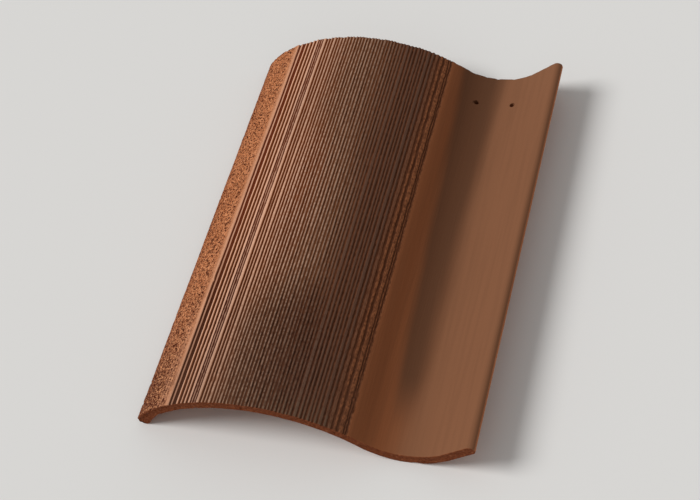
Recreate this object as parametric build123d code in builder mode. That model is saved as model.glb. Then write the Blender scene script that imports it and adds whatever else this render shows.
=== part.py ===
from build123d import *
import os
from math import acos, asin, atan2, cos, degrees, radians, sin, sqrt

# Clay roof tile of the one-piece S kind: a low barrel that sheds the water, a pan that carries it down, and
# an upturned lip that the next tile's nose covers. It is extruded, cut to length and fired as one piece.
# Sizes are in millimetres. +X runs across the tile from the nose to the lip, +Y up the slope from the front
# end to the head, +Z up. The tile lies loose on a level floor, on its nose and the underside of its pan.

length = 457.0

# Barrel, with its crown over the middle of the section's own frame
barrel_radius = 165.0
barrel_wall = 10.0
crown_height = 60.0          # top of the barrel above the bottom of the pan's channel

# Shoulder and nose: the barrel turns down more tightly and ends in a thickened round edge
shoulder_radius = 115.0
shoulder_angle = 28.0        # from the crown to where the shoulder starts
nose_radius = 6.5
nose_height = 3.5            # nose above the bottom of the channel, as it lies on the next tile's pan

# Pan and lip
pan_radius = 60.0
pan_wall = 12.0              # thickest, under the bottom of the channel
lip_angle = 35.0
lip_length = 27.0

# Scored grooves along the barrel, as a comb leaves them, further apart near the borders of the scored field
groove_radius = 0.9
groove_pitch = 3.5
side_groove_pitch = 5.0
side_field_width = 25.0      # of the wider spacing, at each border
field_left_angle = 24.2      # from the crown to the border on the nose's side
field_right_angle = 37.0     # from the crown to the border on the pan's side
edge_groove_radius = 1.4     # the two wider grooves along the borders

# Two nail holes near the head, in the pan, under the lap of the tile above
nail_hole_radius = 2.75
nail_hole_spacing = 38.0
nail_hole_setback = 38.0


def polar(centre, radius, angle):
    """The point at that radius and angle, in degrees, from the centre."""
    return centre + Vector(radius * cos(radians(angle)), radius * sin(radians(angle)))


def direction(start, end):
    """Angle of the way from start to end, in degrees, from 0 to 360."""
    way = end - start
    return degrees(atan2(way.Y, way.X)) % 360


# Upper side: barrel and pan are two circles that touch on the flank
barrel_centre = Vector(0, crown_height - barrel_radius)
flank_angle = degrees(acos(1 - crown_height / (barrel_radius + pan_radius)))
pan_centre = polar(barrel_centre, barrel_radius + pan_radius, 90 - flank_angle)
shoulder_centre = polar(barrel_centre, barrel_radius - shoulder_radius, 90 + shoulder_angle)

# The nose rounds off the shoulder from inside
nose_rise = nose_height + nose_radius - shoulder_centre.Y
nose_reach = sqrt((shoulder_radius - nose_radius) ** 2 - nose_rise**2)
nose_centre = shoulder_centre + Vector(-nose_reach, nose_rise)
nose_outer_angle = direction(shoulder_centre, nose_centre)

# Underside: the barrel's wall is even, and the pan's thickens towards the bottom of its channel
under_radius = barrel_radius - barrel_wall
pan_bottom_rise = -pan_wall - barrel_centre.Y        # lowest point of the pan above the barrel's centre
square_gap = pan_centre.X**2 + pan_bottom_rise**2 - under_radius**2
pan_under_radius = square_gap / (2 * (under_radius - pan_bottom_rise))
pan_under_centre = Vector(pan_centre.X, pan_under_radius - pan_wall)
flank_under_angle = 90 - direction(barrel_centre, pan_under_centre)

# Inside the shoulder, one arc runs from the barrel's underside to the nose
to_nose = nose_centre - barrel_centre
nose_along = to_nose.dot(polar(Vector(0, 0), 1, 90 + shoulder_angle))
nose_limit = under_radius + nose_radius
shoulder_offset = (nose_limit**2 - to_nose.length**2) / (2 * (nose_limit - nose_along))
shoulder_under_radius = under_radius - shoulder_offset
shoulder_under_centre = polar(barrel_centre, shoulder_offset, 90 + shoulder_angle)
nose_inner_angle = direction(shoulder_under_centre, nose_centre)

# Lip: straight on from the pan, to a full round edge
lip_top = polar(pan_centre, pan_radius, lip_angle - 90)
lip_under = polar(pan_under_centre, pan_under_radius, lip_angle - 90)
lip_end = polar(lip_top, lip_length, lip_angle)
lip_wall = (lip_top - lip_under).dot(polar(Vector(0, 0), 1, lip_angle + 90))
lip_under_end = polar(lip_end, lip_wall, lip_angle - 90)
lip_edge_centre = (lip_end + lip_under_end) / 2


def round_barrel(start, end, pitch):
    """Points in even steps round the barrel's outside, start and end included, about the pitch apart."""
    steps = max(1, round(radians(end - start) * barrel_radius / pitch))
    turn = (end - start) / steps
    return [polar(barrel_centre, barrel_radius, start + step * turn) for step in range(steps + 1)]


# Comb marks: a middle field, a side field next to each border, and a wider groove along the border itself
right_border = 90 - field_right_angle
left_border = 90 + field_left_angle
side_span = degrees(side_field_width / barrel_radius)
right_field = round_barrel(right_border, right_border + side_span, side_groove_pitch)
middle_field = round_barrel(right_border + side_span, left_border - side_span, groove_pitch)
left_field = round_barrel(left_border - side_span, left_border, side_groove_pitch)
groove_centres = right_field[1:] + middle_field[1:-1] + left_field[:-1]
edge_groove_centres = [right_field[0], left_field[-1]]

# At rest the section is turned until the nose and the pan's underside stand level
nose_to_pan = pan_under_centre - nose_centre
rest_turn = asin((pan_under_radius - nose_radius) / nose_to_pan.length) - atan2(nose_to_pan.Y, nose_to_pan.X)


def at_rest(point):
    """A point of the section as it stands once the section is turned."""
    return Vector(
        point.X * cos(rest_turn) - point.Y * sin(rest_turn),
        point.X * sin(rest_turn) + point.Y * cos(rest_turn),
    )


left = at_rest(nose_centre).X - nose_radius
right = at_rest(lip_edge_centre).X + lip_wall / 2
floor_level = at_rest(nose_centre).Y - nose_radius
middle = (left + right) / 2

section_plane = Plane(
    origin=(-middle, -length / 2, -floor_level),
    x_dir=(cos(rest_turn), 0, sin(rest_turn)),
    z_dir=(0, -1, 0),
)

with BuildPart() as roof_tile:
    with BuildSketch(section_plane) as section:
        with BuildLine() as outline:
            CenterArc(barrel_centre, barrel_radius, 90 - flank_angle, flank_angle + shoulder_angle)
            shoulder_sweep = nose_outer_angle - 90 - shoulder_angle
            CenterArc(shoulder_centre, shoulder_radius, 90 + shoulder_angle, shoulder_sweep)
            CenterArc(nose_centre, nose_radius, nose_outer_angle, nose_inner_angle + 180 - nose_outer_angle)
            inner_sweep = nose_inner_angle - 90 - shoulder_angle
            CenterArc(shoulder_under_centre, shoulder_under_radius, 90 + shoulder_angle, inner_sweep)
            under_sweep = flank_under_angle + shoulder_angle
            CenterArc(barrel_centre, under_radius, 90 - flank_under_angle, under_sweep)
            pan_start = 270 - flank_under_angle
            CenterArc(pan_under_centre, pan_under_radius, pan_start, flank_under_angle + lip_angle)
            Line(lip_under, lip_under_end)
            CenterArc(lip_edge_centre, lip_wall / 2, lip_angle - 90, 180)
            Line(lip_end, lip_top)
            CenterArc(pan_centre, pan_radius, 270 - flank_angle, flank_angle + lip_angle)
        make_face()

        with Locations(*groove_centres):
            Circle(groove_radius, mode=Mode.SUBTRACT)
        with Locations(*edge_groove_centres):
            Circle(edge_groove_radius, mode=Mode.SUBTRACT)
    extrude(amount=-length)

    with Locations((at_rest(pan_centre).X - middle, length / 2 - nail_hole_setback, crown_height)):
        with GridLocations(nail_hole_spacing, 0, 2, 1):
            Hole(nail_hole_radius)

roof_tile.part.label = "roof_tile"

os.makedirs("parts", exist_ok=True)
export_step(roof_tile.part, "parts/roof_tile.step")

size = roof_tile.part.bounding_box().size
print(f"turned {degrees(rest_turn):.2f} degrees, lip {lip_wall:.1f} mm thick")
print(f"{len(groove_centres)} grooves between {len(edge_groove_centres)} wider ones")
print(f"{size.X:.1f} x {size.Y:.1f} x {size.Z:.1f} mm, {roof_tile.part.volume / 1e6:.3f} litres")
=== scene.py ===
from math import acos, asin, degrees, radians, sqrt

import bpy
import numpy as np
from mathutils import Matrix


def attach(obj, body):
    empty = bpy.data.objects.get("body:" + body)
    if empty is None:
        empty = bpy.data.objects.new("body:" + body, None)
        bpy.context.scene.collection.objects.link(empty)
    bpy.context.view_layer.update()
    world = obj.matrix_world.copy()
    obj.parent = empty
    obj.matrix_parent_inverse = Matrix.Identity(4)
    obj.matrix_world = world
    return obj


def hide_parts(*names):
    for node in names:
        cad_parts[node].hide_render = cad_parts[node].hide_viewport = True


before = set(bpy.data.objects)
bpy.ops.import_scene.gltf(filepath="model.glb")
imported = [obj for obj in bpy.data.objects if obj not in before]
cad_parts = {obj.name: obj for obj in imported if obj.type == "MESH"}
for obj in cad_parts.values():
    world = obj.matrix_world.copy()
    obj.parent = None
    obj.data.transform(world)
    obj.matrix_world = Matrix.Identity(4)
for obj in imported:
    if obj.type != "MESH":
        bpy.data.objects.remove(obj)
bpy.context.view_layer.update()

# The tile is one piece of clay. Stiff clay is pressed through a die as one endless S and cut to length, so
# a single section runs from the front end to the head: nose, shoulder, barrel, pan and lip. A point of that
# section is a complex number in metres, sideways plus upwards, with the crown over zero.
length = 0.457
barrel_radius, barrel_wall, crown_height = 0.165, 0.010, 0.060
shoulder_radius, shoulder_angle = 0.115, 28
nose_radius, nose_height = 0.0065, 0.0035
pan_radius, pan_wall = 0.060, 0.012
lip_angle, lip_length = 35, 0.027


def polar(centre, radius, angle):
    """The point at that radius and angle, in degrees, from the centre."""
    return centre + radius * np.exp(1j * np.radians(angle))


def direction(start, end):
    """Angle of the way from start to end, in degrees, from 0 to 360."""
    return degrees(np.angle(end - start)) % 360


def share_along(way, angle):
    """How far a way reaches in that direction."""
    return (way * np.conj(polar(0, 1, angle))).real


shoulder_top = 90 + shoulder_angle
barrel_centre = 1j * (crown_height - barrel_radius)
flank_angle = degrees(acos(1 - crown_height / (barrel_radius + pan_radius)))
pan_centre = polar(barrel_centre, barrel_radius + pan_radius, 90 - flank_angle)
shoulder_centre = polar(barrel_centre, barrel_radius - shoulder_radius, shoulder_top)
nose_rise = nose_height + nose_radius - shoulder_centre.imag
nose_centre = shoulder_centre - sqrt((shoulder_radius - nose_radius) ** 2 - nose_rise**2) + 1j * nose_rise
nose_outer_angle = direction(shoulder_centre, nose_centre)

under_radius = barrel_radius - barrel_wall
pan_bottom_rise = -pan_wall - barrel_centre.imag
square_gap = pan_centre.real**2 + pan_bottom_rise**2 - under_radius**2
pan_under_radius = square_gap / (2 * (under_radius - pan_bottom_rise))
pan_under_centre = pan_centre.real + 1j * (pan_under_radius - pan_wall)
flank_under_angle = 90 - direction(barrel_centre, pan_under_centre)

to_nose = nose_centre - barrel_centre
nose_limit = under_radius + nose_radius
nose_along = share_along(to_nose, shoulder_top)
shoulder_offset = (nose_limit**2 - abs(to_nose) ** 2) / (2 * (nose_limit - nose_along))
shoulder_under_radius = under_radius - shoulder_offset
shoulder_under_centre = polar(barrel_centre, shoulder_offset, shoulder_top)
nose_inner_angle = direction(shoulder_under_centre, nose_centre)

lip_top = polar(pan_centre, pan_radius, lip_angle - 90)
lip_under = polar(pan_under_centre, pan_under_radius, lip_angle - 90)
lip_wall = share_along(lip_top - lip_under, lip_angle + 90)
lip_end = polar(lip_top, lip_length, lip_angle)
lip_under_end = polar(lip_end, lip_wall, lip_angle - 90)
lip_edge_centre = (lip_end + lip_under_end) / 2

nose_to_pan = pan_under_centre - nose_centre
rest_turn = asin((pan_under_radius - nose_radius) / abs(nose_to_pan)) - float(np.angle(nose_to_pan))
nose_bottom_angle = 270 - degrees(rest_turn)

arc_points, straight_points = 240, 40


def arc(centre, radius, start, sweep, outward=1):
    """Points along an arc and the way out of the clay: from the centre, or to it where outward is -1."""
    turn = polar(0, 1, np.linspace(start, start + sweep, arc_points))
    return centre + radius * turn, outward * turn


def straight(start, end, outward_angle):
    """Points along a straight run and the way out of the clay."""
    points = np.linspace(start, end, straight_points)
    return points, np.full(straight_points, polar(0, 1, outward_angle))


class Skin:
    """A run of arcs and straights over the section, read by the distance from its start."""

    def __init__(self, *runs):
        self.points = np.concatenate([points for points, _ in runs])
        self.outward = np.concatenate([outward for _, outward in runs])
        self.distance = np.append(0, np.cumsum(abs(np.diff(self.points))))
        self.ends = np.append(0, self.distance[np.cumsum([len(points) for points, _ in runs]) - 1])

    def at(self, distance):
        """The point at that distance and the way out of the clay there, once the tile is laid down."""
        point = np.interp(distance, self.distance, self.points)
        outward = np.interp(distance, self.distance, self.outward)
        return laid_down(point), outward / abs(outward) * np.exp(1j * rest_turn)


inner_sweep = shoulder_top - nose_inner_angle
upper = Skin(
    arc(nose_centre, nose_radius, nose_bottom_angle, nose_outer_angle - nose_bottom_angle),
    arc(shoulder_centre, shoulder_radius, nose_outer_angle, shoulder_top - nose_outer_angle),
    arc(barrel_centre, barrel_radius, shoulder_top, -shoulder_angle - flank_angle),
    arc(pan_centre, pan_radius, 270 - flank_angle, flank_angle + lip_angle, -1),
    straight(lip_top, lip_end, lip_angle + 90),
    arc(lip_edge_centre, lip_wall / 2, lip_angle + 90, -90),
)
lower = Skin(
    arc(nose_centre, nose_radius, nose_bottom_angle, nose_inner_angle + 180 - nose_bottom_angle),
    arc(shoulder_under_centre, shoulder_under_radius, nose_inner_angle, inner_sweep, -1),
    arc(barrel_centre, under_radius, shoulder_top, -shoulder_angle - flank_under_angle, -1),
    arc(pan_under_centre, pan_under_radius, 270 - flank_under_angle, flank_under_angle + lip_angle),
    straight(lip_under, lip_under_end, lip_angle - 90),
    arc(lip_edge_centre, lip_wall / 2, lip_angle - 90, 90),
)

outline = np.concatenate([upper.points, lower.points]) * np.exp(1j * rest_turn)
rest_shift = -(outline.real.min() + outline.real.max()) / 2 - 1j * outline.imag.min()


def laid_down(points):
    """Points of the section as they stand on the floor, on the nose and the underside of the pan."""
    return points * np.exp(1j * rest_turn) + rest_shift


# The scored field. Pins in the die plough grooves along the barrel and pull the ridges between them rough.
# The grooves lie close over the crown and further apart by both borders. They are given in millimetres: the
# first one's place before the crown, on the nose's side, and the steps from each to the next.
mm = 0.001
first_groove = -68.9
left_steps = (6.0, 5.9, 4.8, 4.6, 4.2, 2.7, 2.9, 4.9, 3.6, 3.6, 4.4)
even_pitch, even_steps = 3.5, 22
right_steps = (4.8, 3.8, 3.9, 3.9, 3.3, 3.8, 4.9, 4.3, 5.2, 5.2, 5.9, 2.4)
groove_steps = np.array([*left_steps, *[even_pitch] * even_steps, *right_steps])
groove_at = (first_groove + np.append(0, np.cumsum(groove_steps))) * mm
grooves = len(groove_at)
border_groove, wide_groove, torn_grooves, twin_grooves = 0, 1, [5, 6, 7], [grooves - 2, grooves - 1]

# A groove takes a share of the room to its nearer neighbour, and cuts deeper where it has more room
roll = np.random.default_rng(11)
outer_room = 5               # millimetres, beyond the first groove and the last
room = np.minimum(np.append(groove_steps, outer_room), np.append(outer_room, groove_steps))
groove_share = np.interp(np.arange(grooves), (0, 12, 30, grooves), (0.43, 0.34, 0.31, 0.31))
groove_half = groove_share * room * mm * roll.uniform(0.88, 1.12, grooves)
groove_depth = (0.75 + 0.075 * room) * mm * roll.uniform(0.85, 1.15, grooves)
groove_depth *= np.interp(np.arange(grooves), (18, 30), (1, 0.85))
groove_half[border_groove], groove_depth[border_groove] = 1.5 * mm, 1.4 * mm
groove_half[wide_groove], groove_depth[wide_groove] = 2.6 * mm, 1.05 * mm
groove_half[torn_grooves], groove_depth[torn_grooves] = 0.85 * mm, 0.75 * mm
groove_half[twin_grooves], groove_depth[twin_grooves] = 0.8 * mm, 0.9 * mm

# Each ridge lies right of the groove of its number: how far it is sunk, and how clear its skin is
ridge_sunk = roll.uniform(0, 0.12, grooves) * mm
ridge_clear = np.ones(grooves)
ridge_sunk[border_groove], ridge_clear[border_groove] = 0.5 * mm, 0.74
ridge_sunk[torn_grooves[:2]], ridge_clear[torn_grooves[:2]] = 0.35 * mm, 0.74
ridge_sunk[twin_grooves], ridge_clear[twin_grooves] = 0.35 * mm, 0.8


def evenly(start, end, count):
    """Stations up to the end and without the start, on clay that has no groove."""
    return [(across, 0.0, -1.0) for across in np.linspace(start, end, count + 1)[1:]]


# Stations round the upper skin, each with its distance from the crown, its share of a groove's depth, and
# the number of its groove: a quarter less or more on the groove's two edges, and a half more on the ridge.
# Wider ridges have more of them.
crown = upper.ends[2] + barrel_radius * radians(shoulder_angle)
skin_ends = upper.ends - crown
nose_start, nose_end, _, barrel_end, pan_end, lip_face_end, lip_edge_end = skin_ends
strip_width, strip_share = 3.4 * mm, 0.9      # its own stations reach over that share of its width
band_end = groove_at[0] - groove_half[0] - strip_width
field_end = groove_at[-1] + groove_half[-1]
nose_count, band_count, strip_count = 8, 40, 3
flank_count, pan_count, lip_face_count, lip_edge_count = 6, 28, 5, 6
groove_profile = ((-1, 0.1), (-0.5, 1), (0.5, 1), (1, 0.1))
wide_profile = ((-1, 0.1), (-0.75, 0.9), (-0.3, 1), (0.1, 0.8), (0.6, 1), (1, 0.1))
two_point_width, four_point_width = 1.6 * mm, 2.3 * mm
stations = [(nose_start, 0.0, -1.0)]
stations += evenly(nose_start, nose_end, nose_count)
stations += evenly(nose_end, band_end, band_count)
stations += evenly(band_end, band_end + strip_width * strip_share, strip_count)
for groove in range(grooves):
    middle, half = groove_at[groove], groove_half[groove]
    profile = wide_profile if groove == wide_groove else groove_profile
    stations += [(middle + offset * half, share, groove + offset / 4) for offset, share in profile]
    if groove + 1 < grooves:
        start, end = middle + half, groove_at[groove + 1] - groove_half[groove + 1]
        width = end - start
        count = 1 + int(width > two_point_width) + 2 * int(width > four_point_width)
        shares = np.linspace(0.5 / count, 1 - 0.5 / count, count)
        stations += [(start + share * width, 0.0, groove + 0.5) for share in shares]
stations += evenly(field_end, barrel_end, flank_count)
stations += evenly(barrel_end, pan_end, pan_count)
stations += evenly(pan_end, lip_face_end, lip_face_count)
stations += evenly(lip_face_end, lip_edge_end, lip_edge_count)
station_across, floor_share, groove_of = np.array(stations).T
scored = (groove_of >= -0.5) * 1.0
ridge_of = np.clip(np.floor(groove_of), 0, None).astype(int)

# Rows along the tile from the front end to the head, closer together where the ends' edges are worn round
edge_rows, inner_count = np.array([0, 0.2, 0.6, 1.2, 2.0]) * mm, 222
inner_rows = np.linspace(edge_rows[-1], length - edge_rows[-1], inner_count)
row_along = np.concatenate([edge_rows[:-1], inner_rows, length - edge_rows[-2::-1]])


def step(values, low, high):
    """0 below the low value, 1 above the high one, and a smooth slope between them."""
    share = np.clip((values - low) / (high - low), 0, 1)
    return share * share * (3 - 2 * share)


grain_cells = 256            # random heights along each side of a square that repeats


def grain(seed, across, along, reach_across, reach_along):
    """Random heights from 0 to 1 on the skin, which turn smoothly into each other over those distances."""
    heights = np.random.default_rng(seed).random((grain_cells, grain_cells))
    across, along = np.broadcast_arrays(across / reach_across, along / reach_along)
    column, row = np.floor(across).astype(int), np.floor(along).astype(int)
    sideways, lengthways = step(across - column, 0, 1), step(along - row, 0, 1)
    left, right, near_row, far_row = (cell % grain_cells for cell in (column, column + 1, row, row + 1))
    near = heights[left, near_row] * (1 - sideways) + heights[right, near_row] * sideways
    far = heights[left, far_row] * (1 - sideways) + heights[right, far_row] * sideways
    return near * (1 - lengthways) + far * lengthways


# Relief of the upper skin, in metres down into the clay. Noise that runs along single grooves or ridges is
# read several cells apart, so that neighbours owe nothing to each other.
across, along = np.meshgrid(station_across, row_along)
line_gap = 7


def by_groove(seed, reach_along):
    """Random heights from 0 to 1 along each groove, and the mean of its two on the ridge between them."""
    left, right = np.floor(groove_of + 0.3), np.ceil(groove_of - 0.3)
    left_noise = grain(seed, line_gap * left, along, 1, reach_along)
    right_noise = grain(seed, line_gap * right, along, 1, reach_along)
    return (left_noise + right_noise) / 2


wobble = 0.15 + 0.6 * step(across, 82 * mm, 96 * mm)
wander = 0.5 * (by_groove(21, 45 * mm) - 0.5) + wobble * (by_groove(22, 7 * mm) - 0.5)
across = across + scored * mm * wander

# Tears across the ridges, one after another along each, most of them in the middle and by the torn grooves
torn = step(across, -35 * mm, -5 * mm) * (0.6 - 0.25 * step(along, 90 * mm, 150 * mm))
torn = 0.3 + torn - 0.4 * step(across, 45 * mm, 60 * mm) + 0.5 * step(across, 80 * mm, 95 * mm)
torn = np.maximum(torn, step(across, -43.5 * mm, -42.5 * mm) * step(-across, 37 * mm, 38 * mm))
tears = step(grain(31, line_gap * ridge_of, along, 1, 2.6 * mm), 0.45, 0.8)
tears = tears * (0.6 + 0.4 * grain(32, across, along, 1 * mm, 3 * mm))
tear = scored * torn * tears

nearest_groove = np.clip(np.rint(groove_of), 0, None).astype(int)
depth = groove_depth[nearest_groove] * (0.8 + 0.4 * by_groove(23, 12 * mm))
crumbs = step(grain(25, across, along, 1.1 * mm, 2.2 * mm), 0.62, 0.9)
uneven = 0.7 + 0.6 * grain(24, line_gap * ridge_of, along, 1, 15 * mm)
sunk = ridge_sunk[ridge_of] * uneven + 0.45 * mm * tear
comb_relief = floor_share * depth * (1 - 0.5 * crumbs) + (1 - floor_share) * sunk

# The grainy band by the nose is pitted, with three faint drag ridges that die out from the front end
band = step(band_end - across, 0, 6 * mm)
drag_ridges_at, drag_half_width, drag_top_half_width = (-78.8, -82.6, -86.6), 1.3 * mm, 0.3 * mm
drag_ridges = 0
for at in drag_ridges_at:
    drag_ridges = drag_ridges + step(-abs(across - at * mm), -drag_half_width, -drag_top_half_width)
drag_ridges = drag_ridges * step(-along, -140 * mm, -50 * mm)
pits = step(grain(41, across, along, 1.9 * mm, 2.4 * mm), 0.68, 0.88) * (1 - 0.8 * drag_ridges)
rough = 0.55 * grain(42, across, along, 1.5 * mm, 1.9 * mm)
rough = rough + 0.45 * grain(43, across, along, 4.5 * mm, 7 * mm)
band_relief = band * (0.15 + 0.5 * rough + pits) * (1 - 0.7 * drag_ridges) * mm

# Nicks from handling, each with its angle from the crown in degrees and, in millimetres, its distance from
# the front end, half width, half length and depth
nicks = (
    (-24.5, 142, 2.6, 2.2, 0.9), (-19.6, 83, 6.5, 0.9, 0.8), (-9.0, 25, 2.8, 2.6, 0.9),
    (-14.5, 111, 1.5, 2.2, 0.7), (-7.0, 37, 1.6, 1.6, 0.6), (10.2, 109, 1.8, 1.6, 0.7),
    (3.0, 76, 2.0, 1.4, 0.6), (14.0, 262, 2.2, 1.8, 0.7),
)
nick = 0
for angle, from_front, half_width, half_length, nick_depth in nicks:
    sideways = (across - barrel_radius * radians(angle)) / (half_width * mm)
    lengthways = (along - from_front * mm) / (half_length * mm)
    nick = np.maximum(nick, nick_depth * np.exp(-(sideways**2) - lengthways**2))

# Slow waves that the die and the drying leave everywhere
waves = grain(51, across, along, 30 * mm, 60 * mm) + 0.5 * grain(52, across, along, 9 * mm, 24 * mm)
relief = scored * comb_relief + (1 - scored) * band_relief
relief = relief + (0.08 * waves + (1 - 0.7 * floor_share) * nick) * mm
wear = np.maximum(np.where(scored, tear, band * pits), np.clip(1.6 * nick, 0, 1))

# Relief of the underside, which the die leaves smooth but for long drag marks. It has fewer stations, each
# given the distance from the crown of the upper skin opposite it.
lower_counts = (4, 8, 22, 18, 3, 4)
runs = zip(lower.ends[:-1], lower.ends[1:], lower_counts)
lower_distance = np.concatenate([np.linspace(start, end, count + 1)[:-1] for start, end, count in runs])
lower_distance = np.append(lower_distance, lower.ends[-1])
lower_across = np.interp(lower_distance, lower.ends, skin_ends)
under_across, under_along = np.meshgrid(lower_across, row_along)
lower_relief = 0.12 * mm * grain(61, under_across, under_along, 2.2 * mm, 90 * mm)
lower_relief += 0.1 * mm * grain(62, under_across, under_along, 14 * mm, 30 * mm)


def edge_wear(seed, across):
    """How far the clay has worn back beside both ends, in metres: a round edge with a few larger chips."""
    inset = 0
    for end_seed, gap in ((seed, row_along), (seed + 3, length - row_along)):
        chips = step(grain(end_seed, across, 0, 6 * mm, 1), 0.76, 0.95)
        radius = (0.35 + 0.8 * grain(end_seed + 1, across, 0, 3.2 * mm, 1) + 1.5 * chips) * mm
        inset = inset + radius * (1 - np.sqrt(1 - np.clip(1 - gap[:, None] / radius, 0, 1) ** 2))
    return inset


def lowered(skin, distance, relief):
    """Points of a skin, lowered into the clay by the relief."""
    points, outward = skin.at(distance)
    return points - relief * outward


upper_points = lowered(upper, across + crown, relief + edge_wear(71, across))
lower_distance = np.broadcast_to(lower_distance, under_across.shape)
lower_points = lowered(lower, lower_distance, lower_relief + edge_wear(77, under_across))

# Each row of the mesh is a closed loop, over the tile from nose to lip and back along the underside. Both
# skins share the line under the nose and the line along the lip's edge.
loop = np.concatenate([upper_points, lower_points[:, -2:0:-1]], axis=1)
rows, columns = loop.shape
stretch = len(station_across)
number = np.arange(rows * columns).reshape(rows, columns)
ahead = np.roll(number, -1, axis=1)
faces = np.stack([number[:-1], ahead[:-1], ahead[1:], number[1:]], axis=-1).reshape(-1, 4).tolist()
front = -length / 2
loop_y = np.broadcast_to(front + row_along[:, None], loop.shape)
places = [np.stack([loop.real, loop_y, loop.imag], axis=-1).reshape(-1, 3)]


def round_the_loop(upper_value, lower_value):
    """One value for each point of the loops."""
    upper_value = np.broadcast_to(upper_value, (rows, stretch))
    lower_value = np.broadcast_to(lower_value, (rows, columns - stretch))
    return np.concatenate([upper_value, lower_value], axis=1).ravel()


end_share = 1 - step(np.minimum(row_along, length - row_along), 0, 1.0 * mm)[:, None]
marks = {
    "across": [round_the_loop(across, lower_across[-2:0:-1])],
    "comb": [round_the_loop(groove_of, -1)],
    "ridge": [round_the_loop(np.where(scored, (1 - floor_share) * ridge_clear[ridge_of], 1), 1)],
    "scored": [round_the_loop(scored, 0)],
    "wear": [round_the_loop(wear, 0)],
    "under": [round_the_loop(0, 1)],
    "cut": [round_the_loop(end_share, end_share)],
}


def zipped(fine, fine_at, coarse, coarse_at):
    """Triangles between two lines of points that start and end together."""
    made, reached = [], 0
    for place in range(len(fine) - 1):
        middle = (fine_at[place] + fine_at[place + 1]) / 2
        while reached + 1 < len(coarse) and coarse_at[reached + 1] <= middle:
            made.append([fine[place], coarse[reached], coarse[reached + 1]])
            reached += 1
        made.append([fine[place], coarse[reached], fine[place + 1]])
    made += [[fine[-1], coarse[place], coarse[place + 1]] for place in range(reached, len(coarse) - 1)]
    return [face for face in made if len(set(face)) == 3]


# The end faces, where the wire cut the clay, are torn and grainy. Between the two skins lie lines of
# points, sunk into the end by uneven amounts.
layers = 6
for row, inward, seed in ((0, 1, 81), (rows - 1, -1, 86)):
    over = loop[row, :stretch]
    opposite = np.interp(station_across, lower_across, lower_points[row])
    line, found = number[row, :stretch].tolist(), []
    for layer in range(1, layers):
        share = layer / layers
        points = over * (1 - share) + opposite * share
        hollow = 0.2 + 0.6 * grain(seed, station_across, points.imag, 1.9 * mm, 1.9 * mm)
        hollow += 1.1 * step(grain(seed + 1, station_across, points.imag, 3 * mm, 2.5 * mm), 0.72, 0.95)
        hollow *= step(abs(over - opposite) * min(share, 1 - share), 0, 1.2 * mm)
        first = sum(len(part) for part in places)
        y = front + row_along[row] + inward * hollow * mm
        places.append(np.stack([points.real, y, points.imag], axis=-1)[1:-1])
        end_marks = {"across": station_across, "wear": hollow / 2, "under": share, "cut": 1}
        end_marks.update(comb=-1, ridge=1, scored=0)
        for name, value in end_marks.items():
            marks[name].append(np.broadcast_to(value, station_across.shape)[1:-1])
        inner = [line[0], *range(first, first + stretch - 2), line[-1]]
        found += zip(line, inner, inner[1:], line[1:])
        line = inner
    found = [list(dict.fromkeys(face)) for face in found]
    underside = [number[row, 0], *number[row, :stretch - 2:-1]]
    found += zipped(line, station_across, underside, lower_across)
    faces += found if inward > 0 else [face[::-1] for face in found]

mesh = bpy.data.meshes.new("roof_tile_clay")
mesh.from_pydata(np.concatenate(places).tolist(), [], [[int(point) for point in face] for face in faces])
for name, values in marks.items():
    attribute = mesh.attributes.new(name, "FLOAT", "POINT")
    attribute.data.foreach_set("value", np.concatenate(values).astype(np.float32))
tile = bpy.data.objects.new("roof_tile_clay", mesh)
bpy.context.scene.collection.objects.link(tile)

# Two nail holes near the head, in the pan, pushed through the soft clay
nail_hole_radius, nail_hole_spacing, nail_hole_setback = 0.00275, 0.038, 0.038
hole_rim_radius = 1.02 * nail_hole_radius
pan_middle = laid_down(pan_centre).real
nail_holes = [pan_middle + side * nail_hole_spacing for side in (-0.5, 0.5)]
for hole_x in nail_holes:
    bpy.ops.mesh.primitive_cylinder_add(
        vertices=32, radius=nail_hole_radius, depth=crown_height,
        location=(hole_x, length / 2 - nail_hole_setback, 0),
    )
    punch = bpy.context.object
    hole = tile.modifiers.new("nail_hole", "BOOLEAN")
    hole.object, hole.solver = punch, "MANIFOLD"
    pierced = bpy.data.meshes.new_from_object(tile.evaluated_get(bpy.context.evaluated_depsgraph_get()))
    tile.modifiers.remove(hole)
    tile.data = pierced
    bpy.data.objects.remove(punch)

# The points round the holes take the marks of the clay beside them
points = np.empty(3 * len(tile.data.vertices), np.float32)
tile.data.vertices.foreach_get("co", points)
x, y, z = points.reshape(-1, 3).T
for hole_x in nail_holes:
    by_hole = np.hypot(x - hole_x, y - length / 2 + nail_hole_setback) < hole_rim_radius
    hole_across = pan_end - pan_radius * radians(lip_angle) + (hole_x - pan_middle)
    above = z[by_hole] > (z[by_hole].min() + z[by_hole].max()) / 2
    hole_marks = {"across": hole_across, "comb": -1, "ridge": 1, "under": np.where(above, 0, 1)}
    for name in marks:
        attribute = tile.data.attributes[name]
        values = np.empty(len(x), np.float32)
        attribute.data.foreach_get("value", values)
        values[by_hole] = hole_marks.get(name, 0)
        attribute.data.foreach_set("value", values)
sharp_angle = 70
tile.data.shade_smooth()
tile.data.set_sharp_from_angle(angle=radians(sharp_angle))


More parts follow.
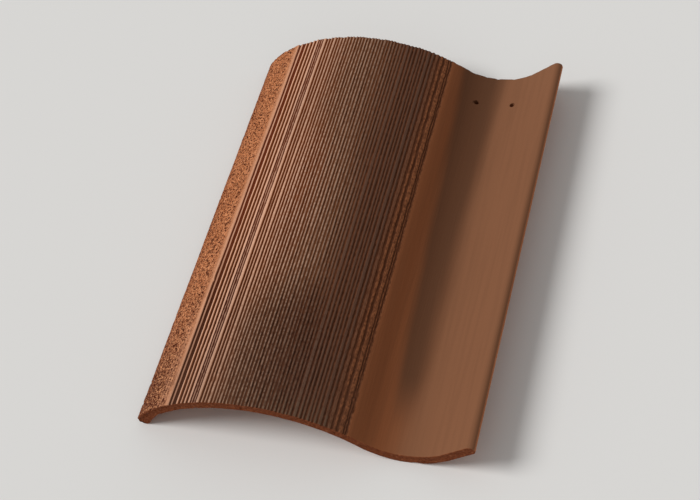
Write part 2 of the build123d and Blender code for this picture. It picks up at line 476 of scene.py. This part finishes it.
# Fired clay: orange where it is bare, flashed grey brown over the barrel where the flame met it, and darker
# in the torn grooves, partly with painted shade. Painted shade also lies in the band's pits and by the
# nose, and a painted highlight along the strip's edge. Unglazed and dull.
class Wire:
    """One value in a finish. Sums, differences, products and quotients of it add Math nodes."""

    def __init__(self, finish, socket):
        self.finish, self.socket = finish, socket

    def math(self, operation, *values):
        return self.finish.node("ShaderNodeMath", {"operation": operation}, dict(enumerate(values)))

    def __add__(self, other):
        return self.math("ADD", self, other)

    def __sub__(self, other):
        return self.math("SUBTRACT", self, other)

    def __rsub__(self, other):
        return self.math("SUBTRACT", other, self)

    def __mul__(self, other):
        return self.math("MULTIPLY", self, other)

    def __truediv__(self, other):
        return self.math("DIVIDE", self, other)

    __radd__, __rmul__ = __add__, __mul__

    def step(self, low, high):
        """0 below the low value, 1 above the high one, and a smooth slope between them."""
        limits = {"Value": self, "From Min": low, "From Max": high}
        return self.finish.node("ShaderNodeMapRange", {"interpolation_type": "SMOOTHSTEP"}, limits)


class Finish:
    """The nodes of a material or of the world, and the shader that they end in."""

    def __init__(self, owner, shader="Principled BSDF"):
        owner.use_nodes = True
        self.tree = owner.node_tree
        self.shader = self.tree.nodes[shader]

    def node(self, kind, settings, sockets, output=0):
        """Adds a node, its settings before its sockets' values or links, and gives one of its outputs."""
        node = self.tree.nodes.new(kind)
        for name, value in settings.items():
            setattr(node, name, value)
        self.join(node, sockets)
        return Wire(self, node.outputs[output])

    def join(self, node, sockets):
        """Gives sockets of a node their values or links."""
        for name, value in sockets.items():
            if isinstance(value, Wire):
                self.tree.links.new(value.socket, node.inputs[name])
            elif isinstance(value, tuple) and node.inputs[name].type == "RGBA":
                node.inputs[name].default_value = (*value, 1)
            else:
                node.inputs[name].default_value = value

    def mark(self, name):
        """A value that the mesh carries at its points."""
        return self.node("ShaderNodeAttribute", {"attribute_name": name}, {}, "Fac")

    def mix(self, share, first, second):
        """A colour between two."""
        return self.node("ShaderNodeMix", {"data_type": "RGBA"}, {0: share, 6: first, 7: second}, 2)

    def washed(self, colour, *washes):
        """A colour under washes of others, one over another, each with the share that it covers."""
        for share, wash in washes:
            colour = self.mix(share, colour, wash)
        return colour

    def noise(self, vector, detail=2.0):
        """Soft random values around a half, with that many finer layers."""
        return self.node("ShaderNodeTexNoise", {}, {"Vector": vector, "Scale": 1.0, "Detail": detail})


def tone(red, green, blue):
    """A colour as the eye reads it, from 0 to 255, as a shader takes it."""
    return tuple(((value / 255 + 0.055) / 1.055) ** 2.4 for value in (red, green, blue))


fired_clay = bpy.data.materials.new("fired_clay")
clay = Finish(fired_clay)
across_skin, comb, ridge, in_field = (clay.mark(name) for name in ("across", "comb", "ridge", "scored"))
worn, underside_there, cut_there = (clay.mark(name) for name in ("wear", "under", "cut"))
spot = clay.node("ShaderNodeTexCoord", {}, {}, "Object")
along_tile = clay.node("ShaderNodeSeparateXYZ", {}, {0: spot}, "Y") + length / 2
ridge_number = comb.math("FLOOR", comb)
ridge_gap, seed_gap = 7.3, 3.7


def spread(reach_across, reach_along, seed, detail=2.0):
    """Noise on the skin whose marks have about that width and length."""
    coordinates = {0: across_skin / reach_across, 1: along_tile / reach_along, 2: float(seed)}
    return clay.noise(clay.node("ShaderNodeCombineXYZ", {}, coordinates), detail)


def by_ridge(reach_along, seed, detail=2.0):
    """Noise along each ridge, read so far apart that neighbours owe nothing to each other."""
    coordinates = {0: ridge_number * ridge_gap, 1: along_tile / reach_along, 2: float(seed)}
    return clay.noise(clay.node("ShaderNodeCombineXYZ", {}, coordinates), detail)


def speckle(size, seed, detail=3.0):
    """Noise through the clay whose marks have about that size."""
    scaled = {0: spot, 1: (1 / size,) * 3, 2: (seed * seed_gap,) * 3}
    return clay.noise(clay.node("ShaderNodeVectorMath", {"operation": "MULTIPLY_ADD"}, scaled), detail)


def patch(across, along, reach_across, reach_along):
    """1 at that place on the skin, and smoothly less to 0 at those distances from it."""
    sideways, lengthways = (across_skin - across) / reach_across, (along_tile - along) / reach_along
    return (1 - sideways * sideways - lengthways * lengthways).step(0, 1)


orange, rust, dark_rust = tone(188, 118, 78), tone(146, 84, 50), tone(100, 46, 22)
sand = tone(206, 150, 118)
body = clay.mix(spread(0.03, 0.07, 3, detail=3.0).step(0.35, 0.65) * 0.4, orange, rust)
under_clay = clay.washed(
    body,
    (spread(0.005, 0.15, 18, detail=3.0).step(0.35, 0.7) * 0.5, rust),
    (speckle(0.0016, 1).step(0.52, 0.68) * 0.35, sand),
)

# The band by the nose is grainy: dark grit and pale flecks, painted shade in its pits and nicks, painted
# shade towards the nose where the skin turns away under it, darker towards the front end, and paler lines
# where the die drew the clay out smooth
drag = 0
for at in drag_ridges_at:
    off_ridge = (across_skin - at * mm) / drag_half_width
    drag = drag + (1 - off_ridge * off_ridge).step(0, 0.8)
drag = drag * (1 - along_tile.step(0.05, 0.14))
# Painted shade towards the nose, where the skin turns away under it; it also thickens the pits' painted
# shade there
nose_shade = 1 - across_skin.step(nose_end - 0.004, nose_end + 0.020)
by_front = 1 - along_tile.step(0.02, 0.09)
by_strip = across_skin.step(band_end - 0.007, band_end + 0.002)
pitted = (speckle(0.0022, 2) + 0.04 * nose_shade + 0.035 * by_front).step(0.54, 0.60)
pitted = pitted * (1 - 0.7 * drag) * (1 - 0.8 * by_strip)
flecks = speckle(0.0017, 22).step(0.51, 0.61) * (1 - 0.5 * by_strip)
drawn = spread(0.0013, 0.03, 21).step(0.4, 0.65) * across_skin.step(-0.092, -0.076)
grit = speckle(0.0016, 20).step(0.46, 0.57) * (0.85 - 0.5 * by_strip)
band_clay = clay.washed(
    body,
    ((1 - along_tile.step(0.02, 0.12)) * 0.65, tone(116, 78, 58)),
    (grit, tone(108, 52, 24)),
    (flecks * 0.7, tone(228, 160, 112)),
    (drawn * 0.35 + drag * 0.15, sand),
    (0.2 * along_tile.step(0.08, 0.22), tone(206, 122, 70)),
    # Painted shade in the pits and nicks
    (pitted * 0.9 + worn * 0.45, tone(74, 26, 8)),
    (nose_shade * 0.38, tone(108, 44, 14)),
)

# Over the barrel the flashing turns from pink by the nose to dusky brown on the far flank, with a smoky
# patch near the front end and a paler one behind it
smoky, paler = patch(0.028, 0.055, 0.056, 0.110), patch(-0.003, 0.222, 0.064, 0.140)
flashed = across_skin + 0.020 * (0.68 * smoky - 1.15 * paler) + 0.012 * (spread(0.03, 0.12, 4) - 0.5)
pink_ridge, brown_ridge = tone(228, 174, 143), tone(168, 133, 111)
dusk_ridge, rust_ridge = tone(97, 68, 53), tone(146, 90, 57)
dusty = 0.25 * patch(-0.003, 0.230, 0.026, 0.110)
ashen = (1 - along_tile.step(0, 0.035)) * across_skin.step(-0.050, 0) * 0.3
ridge_clay = clay.washed(
    pink_ridge,
    (flashed.step(-0.084, 0.012), brown_ridge),
    (flashed.step(0.002, 0.064), dusk_ridge),
    (0.25 * smoky, tone(120, 95, 80)),
    (dusty, tone(196, 164, 146)),
    (ashen, tone(112, 98, 78)),
    (across_skin.step(0.086, 0.098), rust_ridge),
)

# The grooves are sooty and carry painted shade in their hollows, most by the border on the nose's side and
# in the torn ones, and bare clay shows redder in them up the slope
upslope = along_tile.step(0.08, 0.26)
in_border = 1 - comb.step(wide_groove + 0.2, wide_groove + 0.4)
in_torn = comb.step(torn_grooves[0] - 0.4, torn_grooves[0] - 0.2)
in_torn = in_torn * (1 - comb.step(torn_grooves[-1] + 0.2, torn_grooves[-1] + 0.4))
by_border = in_border * (1 - 0.45 * upslope)
soot_and_shade = spread(0.0012, 0.005, 15).step(0.45, 0.6) * 0.35 + 0.5 * smoky * (1 - by_border)
red_groove, umber_groove, dusk_groove = tone(68, 27, 4), tone(100, 58, 33), tone(100, 58, 36)
groove_clay = clay.washed(
    red_groove,
    (flashed.step(-0.045, 0.010), umber_groove),
    (flashed.step(0.020, 0.070), dusk_groove),
    # Soot and painted shade darken the grooves, most by the border on the nose's side
    (soot_and_shade + 0.5 * by_border, tone(47, 17, 2)),
)
wall_clay = clay.washed(
    tone(126, 68, 30),
    (flashed.step(-0.045, 0.010), groove_clay),
    (0.7 * by_border, groove_clay),
)
bare = 0.18 * upslope * (1 - flashed.step(-0.030, 0.020))
# The torn grooves' dark wash is partly painted shade; the redder washes are the clay's own stains
stains_and_shade = (
    (0.85 * in_torn, tone(62, 17, 0)),
    (bare, tone(154, 74, 26)),
    (0.6 * upslope * in_border, tone(94, 32, 5)),
)
groove_clay, wall_clay = clay.washed(groove_clay, *stains_and_shade), clay.washed(wall_clay, *stains_and_shade)

# The ridges are broken by beads along each and by smudges across them, most over the crown
beaded = across_skin.step(-0.050, -0.005) * (1 - 0.5 * across_skin.step(0.045, 0.070))
beaded = beaded * (0.6 + 0.4 * smoky)
beads = by_ridge(0.0030, 5).step(0.46, 0.62) * beaded
smudges = spread(0.0040, 0.0026, 16).step(0.54, 0.68) * beaded
clear = (ridge + 0.07 * in_torn + 0.08 * upslope * in_border).step(0.5, 1)
on_ridge = clear * (1 - 0.5 * worn.step(0.1, 0.7)) * (1 - 0.45 * beads - 0.4 * smudges)
on_ridge = on_ridge * (0.86 + 0.28 * by_ridge(0.03, 6))
ragged = spread(0.0016, 0.0034, 19).step(0.42, 0.62) * across_skin.step(0.086, 0.098) * 0.75
field_clay = clay.washed(
    groove_clay,
    (ridge.step(0, 0.5), wall_clay),
    (on_ridge * (1 - ragged), ridge_clay),
)

# The pan is smooth, burnt orange under the barrel's flank and brown towards the lip. A dusky streak runs
# along it from near the front end.
pan_burnt, pan_brown, pan_dusk = tone(134, 80, 49), tone(130, 87, 61), tone(88, 58, 40)
pan_place = across_skin + 0.012 * (spread(0.02, 0.16, 7) - 0.5)
from_flank = (pan_place + 0.05 * along_tile).step(0.138, 0.152)
from_lip = 1 - (pan_place - 0.003 * along_tile.step(0.17, 0.27)).step(0.1535, 0.1735)
streak = from_flank * from_lip * along_tile.step(0.015, 0.085)
pan_clay = clay.washed(
    pan_burnt,
    (pan_place.step(0.140, 0.172), pan_brown),
    (streak * 0.85, pan_dusk),
    (spread(0.005, 0.12, 12, detail=3.0).step(0.4, 0.7) * 0.12, pan_dusk),
)

# Between the band and the first groove runs a smooth strip, drawn in fine lines, with a painted highlight
# along its edge by the groove
lines = spread(0.0012, 0.03, 8).step(0.4, 0.62)
smeared = spread(0.004, 0.009, 24).step(0.42, 0.6) * (1 - along_tile.step(0.02, 0.07))
# A painted highlight along the strip's edge by the first groove
rim_highlight = across_skin.step(band_end + 0.0003, band_end + 0.0020)
strip_clay = clay.washed(
    tone(196, 138, 104),
    (lines * 0.5, tone(158, 98, 64)),
    (speckle(0.0027, 23).step(0.55, 0.63) * 0.5, rust),
    (smeared * 0.6, tone(104, 60, 38)),
    (rim_highlight * 0.55, tone(216, 158, 124)),
)

# The cut ends are darker and torn
end_pits = speckle(0.0022, 9).step(0.45, 0.66)
end_clay = clay.washed(
    tone(121, 64, 36),
    (end_pits * 0.6 + worn * 0.3, dark_rust),
    (speckle(0.0032, 25).step(0.60, 0.70) * 0.28, tone(176, 116, 82)),
)

# The whole skin is put together from these, and by the front end the barrel is a little duskier
in_pan = across_skin.step(field_end - 0.0003, field_end + 0.0008)
front_dusk = (1 - along_tile.step(0, 0.13)) * across_skin.step(band_end, band_end + 0.001) * 0.2
skin_clay = clay.washed(
    strip_clay,
    (across_skin.step(band_end + 0.001, band_end - 0.004), band_clay),
    (in_pan, pan_clay),
    (in_field.step(0.3, 0.7), field_clay),
    (front_dusk * (1 - in_pan), dusk_ridge),
    (underside_there, under_clay),
    (cut_there.step(0.4, 0.9), end_clay),
)

# The clay's own grain, too fine for the mesh, with drawn lines on all that the die has smoothed
plain = in_pan * (1 - cut_there)
on_band = across_skin.step(band_end, band_end - 0.0015) * (1 - underside_there)
fine = speckle(0.0012, 10) * (1 - 0.8 * plain) * 0.4
coarse = speckle(0.0026, 11) * on_band * 0.6 - pitted * on_band * 0.6 - end_pits * cut_there * 0.4
streaks = spread(0.0009, 0.006, 13) * in_field * 0.35
streaks = streaks + spread(0.0014, 0.05, 17) * (plain * 0.12 + underside_there * 0.25)
bump = clay.node("ShaderNodeBump", {}, {"Distance": 0.001, "Height": fine + coarse + streaks}, "Normal")
roughness = 0.82 + 0.14 * speckle(0.004, 14)
looks = {"Base Color": skin_clay, "Roughness": roughness, "Normal": bump, "Specular IOR Level": 0.1}
clay.join(clay.shader, looks)
tile.data.materials.clear()
tile.data.materials.append(fired_clay)
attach(tile, "root")
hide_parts("roof_tile")

# The floor is a plain sheet of pale paper, larger than the view. The tile lies loose on it and casts its
# shadow there.
bpy.ops.mesh.primitive_plane_add(size=8)
floor = bpy.context.object
floor.name = "floor"
pale_paper = bpy.data.materials.new("pale_floor")
paper = Finish(pale_paper)
paper.join(paper.shader, {"Base Color": (0.78, 0.77, 0.75), "Roughness": 0.9, "Specular IOR Level": 0.1})
floor.data.materials.append(pale_paper)

# Soft studio light: a wide, far lamp on the nose's side that lights tile and floor evenly, and a pale
# surround that fills the shadows. Seen past the floor's edge, the surround is as pale as the floor.
light = bpy.data.lights.new("side_lamp", "SUN")
light.energy, light.angle = 2.2, radians(26)
lamp = bpy.data.objects.new("side_lamp", light)
lamp.location = (-0.68, -0.20, 0.70)
lamp.rotation_euler = (-lamp.location).to_track_quat("-Z", "Y").to_euler()
bpy.context.scene.collection.objects.link(lamp)

surround = bpy.data.worlds.new("surround")
backdrop = Finish(surround, "Background")
fill_strength, seen_strength = 0.38, 0.67
seen = backdrop.node("ShaderNodeLightPath", {}, {}, "Is Camera Ray")
strength = fill_strength + (seen_strength - fill_strength) * seen
backdrop.join(backdrop.shader, {"Color": (1.0, 1.0, 1.0), "Strength": strength})
bpy.context.scene.world = surround

# The camera looks down over the front end from the right, at the photograph's angle, and from far enough
# for the whole tile
sight = bpy.data.cameras.new("camera")
sight.sensor_width, sight.lens = 36, 75.92
camera = bpy.data.objects.new("camera", sight)
camera.location = (0.3965, -0.8170, 1.1648)
camera.rotation_euler = [radians(angle) for angle in (36.980, 9.487, 14.398)]
bpy.context.scene.collection.objects.link(camera)
bpy.context.scene.camera = camera
bpy.context.scene.view_settings.view_transform = "Standard"
